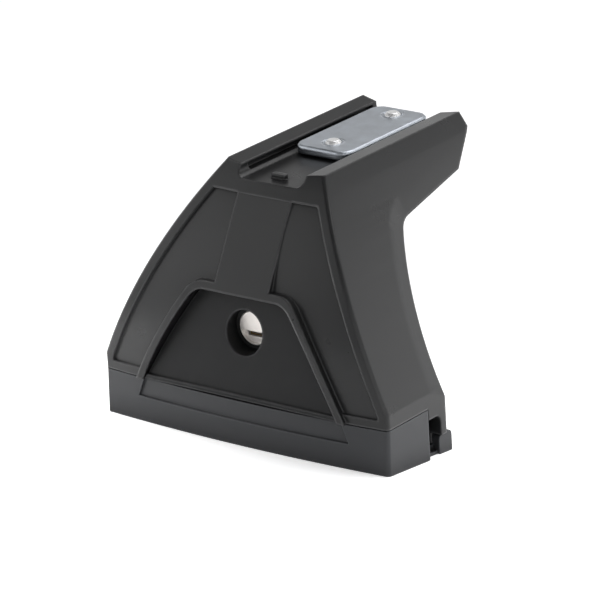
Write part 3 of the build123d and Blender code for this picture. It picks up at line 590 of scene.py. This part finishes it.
def smooth_piece(node, name, finish=None):
    """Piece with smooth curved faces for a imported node, in its slot's finish or in a given one."""
    piece = new_object(name, merged_mesh(node))
    shading = piece.modifiers.new("shading", "WEIGHTED_NORMAL")
    shading.keep_sharp = True
    shading.weight = FACE_WEIGHT
    plain_mesh(piece)
    slot = slot_of(node)
    paint(piece, finish or finish_for(slot))
    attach(piece, body_of(node))
    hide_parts(node)


# Knurl of the clamp screws

def knurl_tree(material):
    """Geometry Nodes that set ribs round a screw's head."""
    tree = bpy.data.node_groups.new("head_knurl", "GeometryNodeTree")
    face = tree.interface
    face.new_socket(name="Geometry", in_out="OUTPUT", socket_type="NodeSocketGeometry")
    face.new_socket(name="Ribs", in_out="INPUT", socket_type="NodeSocketInt")
    for name in ("Radius", "Rib width", "Rib height"):
        face.new_socket(name=name, in_out="INPUT", socket_type="NodeSocketFloat")
    face.new_socket(name="Middle", in_out="INPUT", socket_type="NodeSocketVector")
    face.new_socket(name="Turn", in_out="INPUT", socket_type="NodeSocketRotation")
    taken = tree.nodes.new("NodeGroupInput").outputs
    given = tree.nodes.new("NodeGroupOutput").inputs
    ring = add_node(tree, "GeometryNodeMeshCircle", {"Vertices": taken["Ribs"], "Radius": taken["Radius"]})
    sides = {"X": taken["Rib width"], "Y": taken["Rib width"], "Z": taken["Rib height"]}
    size = add_node(tree, "ShaderNodeCombineXYZ", sides)
    rib = add_node(tree, "GeometryNodeMeshCube", {"Size": size.outputs["Vector"]})
    turned = add_node(tree, "GeometryNodeTransform", {
        "Geometry": rib.outputs["Mesh"],
        "Rotation": (0.0, 0.0, RIB_TURN),
    })
    place = tree.nodes.new("GeometryNodeInputPosition")
    outward = add_node(tree, "FunctionNodeAlignRotationToVector", {"Vector": place.outputs["Position"]})
    outward.axis = "X"
    ribs = add_node(tree, "GeometryNodeInstanceOnPoints", {
        "Points": ring.outputs["Mesh"],
        "Instance": turned.outputs["Geometry"],
        "Rotation": outward.outputs["Rotation"],
    })
    put = add_node(tree, "GeometryNodeTransform", {
        "Geometry": ribs.outputs["Instances"],
        "Translation": taken["Middle"],
        "Rotation": taken["Turn"],
    })
    real = add_node(tree, "GeometryNodeRealizeInstances", {"Geometry": put.outputs["Geometry"]})
    coated = {"Geometry": real.outputs["Geometry"], "Material": material}
    coat = add_node(tree, "GeometryNodeSetMaterial", coated)
    lead(tree, coat.outputs["Geometry"], given["Geometry"])
    return tree


def set_inputs(modifier, values):
    """Sets a Geometry Nodes modifier's inputs, found by the names of their sockets."""
    for item in modifier.node_group.interface.items_tree:
        if item.in_out == "INPUT" and item.name in values:
            modifier[item.identifier] = values[item.name]


def head_knurl(node, body, tree, sizes):
    """Ribs round the head of a clamp screw."""
    joint = joint_of(body)
    axis = Vector(joint["axis"]).normalized()
    origin = Vector(joint["pos_m"])
    corners = [corner.co - origin for corner in frame["nodes"][node].data.vertices]
    foot = max(corner.dot(axis) for corner in corners)
    radius = max((corner - axis * corner.dot(axis)).length for corner in corners)
    piece = new_object("knurl_" + body, bpy.data.meshes.new("knurl_" + body))
    ribs = piece.modifiers.new("ribs", "NODES")
    ribs.node_group = tree
    set_inputs(ribs, {
        "Ribs": sizes.rib_count,
        "Radius": radius,
        "Rib width": sizes.rib_width,
        "Rib height": sizes.head_height - 2 * sizes.rib_margin,
        "Middle": origin + axis * (foot - sizes.head_height / 2),
        "Turn": axis.to_track_quat("Z", "Y").to_euler(),
    })
    plain_mesh(piece)
    if not piece.data.vertices:
        raise RuntimeError("the knurl has no ribs")
    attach(piece, body)


# Operators, one for each piece or group of like pieces

class FOOT_OT_tower(bpy.types.Operator):
    """Smooth and finish the moulded tower"""

    bl_idname = "foot.tower"
    bl_label = "Tower"

    def execute(self, context):
        smooth_piece("tower_housing", "tower")
        return {"FINISHED"}


class FOOT_OT_boot(bpy.types.Operator):
    """Smooth and finish the boot under the tower"""

    bl_idname = "foot.boot"
    bl_label = "Boot"

    def execute(self, context):
        smooth_piece("base_boot", "boot")
        return {"FINISHED"}


class FOOT_OT_door(bpy.types.Operator):
    """Smooth and finish the lock door"""

    bl_idname = "foot.door"
    bl_label = "Door"

    def execute(self, context):
        smooth_piece("door_panel", "door", shaded_door_finish())
        return {"FINISHED"}


class FOOT_OT_lock(bpy.types.Operator):
    """Smooth the key plug and finish the lock"""

    bl_idname = "foot.lock"
    bl_label = "Lock"

    def execute(self, context):
        smooth_piece("lock_core", "key_plug")
        paint_nodes("lock_sleeve", "lock_nut", "lock_wafers", "lock_cam", "cam_screw")
        return {"FINISHED"}


class FOOT_OT_clamp(bpy.types.Operator):
    """Smooth the clamp plate, plate its bushes like it, and finish the washers and clips"""

    bl_idname = "foot.clamp"
    bl_label = "Clamp plate"

    def execute(self, context):
        smooth_piece("clamp_plate", "bar_plate")
        paint_nodes("clamp_washers", "screw_clip_front", "screw_clip_rear")
        paint(frame["nodes"]["plate_inserts"], finish_for(slot_of("clamp_plate")))
        return {"FINISHED"}


class FOOT_OT_screws(bpy.types.Operator):
    """Smooth the clamp screws and knurl their heads"""

    bl_idname = "foot.screws"
    bl_label = "Clamp screws"

    def execute(self, context):
        tree = knurl_tree(finish_for("bright_steel"))
        for end in ("front", "rear"):
            smooth_piece("clamp_screw_" + end, "screw_" + end + "_shank")
            head_knurl("clamp_screw_" + end, "screw_" + end, tree, context.scene.foot_screws)
        return {"FINISHED"}


class FOOT_OT_base(bpy.types.Operator):
    """Finish the base plate, its screws, their inserts and the fixing bush"""

    bl_idname = "foot.base"
    bl_label = "Base"

    def execute(self, context):
        paint_nodes("base_plate", "base_screws", "boss_inserts", "fixing_bush")
        return {"FINISHED"}


# Studio

def facing(place, aim):
    """Turn of a lamp or camera at a place towards a point."""
    return (Vector(aim) - Vector(place)).to_track_quat("-Z", "Y").to_euler()


def softbox(name, place, aim, size, power, spread):
    """A square lamp turned towards a point."""
    lamp = bpy.data.lights.new(name, "AREA")
    lamp.size = size
    lamp.energy = power
    lamp.spread = spread
    holder = new_object(name, lamp)
    holder.location = place
    holder.rotation_euler = facing(place, aim)
    holder.visible_camera = False


def floor_finish(colour, lift):
    """Pale floor that shows white to the camera and in reflections, and keeps the shadow."""
    material = bpy.data.materials.new("studio_floor")
    material.use_nodes = True
    tree = material.node_tree
    tree.nodes.clear()
    rays = tree.nodes.new("ShaderNodeLightPath").outputs
    seen = math_node(tree, "MAXIMUM", rays["Is Camera Ray"], rays["Is Glossy Ray"])
    seen = math_node(tree, "MAXIMUM", seen, rays["Is Transmission Ray"])
    matt = add_node(tree, "ShaderNodeBsdfDiffuse", {"Color": (*colour, 1.0)})
    glow = add_node(tree, "ShaderNodeEmission", {"Strength": math_node(tree, "MULTIPLY", seen, lift)})
    both = tree.nodes.new("ShaderNodeAddShader")
    lead(tree, matt.outputs[0], both.inputs[0])
    lead(tree, glow.outputs[0], both.inputs[1])
    add_node(tree, "ShaderNodeOutputMaterial", {"Surface": both.outputs[0]})
    return material


def studio_floor(stage):
    """The floor, a large square just under the foot."""
    near = -FLOOR_HALF
    far = FLOOR_HALF
    corners = [(x, y, FLOOR_LEVEL) for x, y in ((near, near), (far, near), (far, far), (near, far))]
    mesh = bpy.data.meshes.new("floor")
    mesh.from_pydata(corners, [], [(0, 1, 2, 3)])
    mesh.materials.append(floor_finish(stage.floor_colour, stage.floor_lift))
    floor = new_object("floor", mesh)


def studio_world():
    """White to the camera, and in reflections a pale wall behind, dimmer in front and overhead."""
    world = bpy.data.worlds.new("studio")
    bpy.context.scene.world = world
    world.use_nodes = True
    tree = world.node_tree
    place = tree.nodes.new("ShaderNodeTexCoord")
    parts = add_node(tree, "ShaderNodeSeparateXYZ", {"Vector": place.outputs["Generated"]}).outputs
    ramp = add_node(tree, "ShaderNodeValToRGB", {"Fac": parts["Z"]})
    stops = ramp.color_ramp.elements
    while len(stops) < len(SKY_LEVELS):
        stops.new(0.5)
    for stop, (height, level) in zip(stops, SKY_LEVELS):
        stop.position = height
        stop.color = (level, level, level, 1.0)
    depth = add_node(tree, "ShaderNodeMapRange", {
        "Value": parts["Y"],
        "From Min": -SKY_TURN,
        "From Max": SKY_TURN,
        "To Min": SKY_FRONT,
    })
    bright = math_node(tree, "MULTIPLY", ramp.outputs["Color"], depth.outputs["Result"])
    rays = tree.nodes.new("ShaderNodeLightPath").outputs
    mirrored = mix_node(tree, rays["Is Glossy Ray"], SKY_FILL, bright)
    shown = math_node(tree, "MAXIMUM", rays["Is Camera Ray"], rays["Is Transmission Ray"])
    lead(tree, mix_node(tree, shown, mirrored, WHITE), tree.nodes["Background"].inputs["Color"])


def studio_lamps(stage):
    """The large softboxes round the foot and the small ones over the floor."""
    for side, (place, size) in LARGE_LAMPS.items():
        softbox("lamp_" + side, place, LAMP_AIM, size, getattr(stage, side + "_power"), LAMP_SPREAD)
    for side, (x, y, share) in FLOOR_LAMPS.items():
        place = (x, y, FLOOR_LAMP_HEIGHT)
        power = stage.floor_power * share
        softbox("lamp_" + side, place, (x, y, 0.0), FLOOR_LAMP_SIZE, power, FLOOR_LAMP_SPREAD)


def studio_camera(stage):
    """The camera at the photograph's angle."""
    lens = bpy.data.cameras.new("camera")
    lens.lens = stage.lens
    lens.sensor_width = SENSOR_WIDTH
    camera = new_object("camera", lens)
    camera.location = stage.camera_place
    camera.rotation_euler = facing(stage.camera_place, stage.camera_aim)
    bpy.context.scene.camera = camera


class FOOT_OT_studio(bpy.types.Operator):
    """Set up the floor, world, lamps and camera"""

    bl_idname = "foot.studio"
    bl_label = "Studio"

    def execute(self, context):
        stage = context.scene.foot_studio
        studio_floor(stage)
        studio_world()
        studio_lamps(stage)
        studio_camera(stage)
        context.scene.view_settings.view_transform = "Standard"
        return {"FINISHED"}


class FOOT_PT_panel(bpy.types.Panel):
    """Buttons for the foot's pieces and the studio"""

    bl_label = "Roof bar foot"
    bl_idname = "FOOT_PT_panel"
    bl_space_type = "VIEW_3D"
    bl_region_type = "UI"
    bl_category = "Foot"

    def draw(self, context):
        for step in STEPS:
            self.layout.operator(step.bl_idname)
        for group in GROUPS:
            box = self.layout.box()
            values = getattr(context.scene, group)
            for name in values.__annotations__:
                box.prop(values, name)


GROUPS = {
    "foot_finish": FootFinish,
    "foot_edges": FootEdges,
    "foot_screws": FootScrews,
    "foot_studio": FootStudio,
}
STEPS = (
    FOOT_OT_tower,
    FOOT_OT_boot,
    FOOT_OT_door,
    FOOT_OT_lock,
    FOOT_OT_clamp,
    FOOT_OT_screws,
    FOOT_OT_base,
    FOOT_OT_studio,
)


def register():
    """Registers the classes and gives the scene its values."""
    for name, group in GROUPS.items():
        bpy.utils.register_class(group)
        setattr(bpy.types.Scene, name, bpy.props.PointerProperty(type=group))
    for step in STEPS:
        bpy.utils.register_class(step)
    bpy.utils.register_class(FOOT_PT_panel)


def unregister():
    """Takes the classes and the scene's values away again."""
    bpy.utils.unregister_class(FOOT_PT_panel)
    for step in reversed(STEPS):
        bpy.utils.unregister_class(step)
    for name, group in GROUPS.items():
        delattr(bpy.types.Scene, name)
        bpy.utils.unregister_class(group)


def main():
    """Builds the foot and its studio."""
    register()
    bpy.ops.foot.tower()
    bpy.ops.foot.boot()
    bpy.ops.foot.door()
    bpy.ops.foot.lock()
    bpy.ops.foot.clamp()
    bpy.ops.foot.screws()
    bpy.ops.foot.base()
    bpy.ops.foot.studio()


if __name__ == "__main__":
    main()
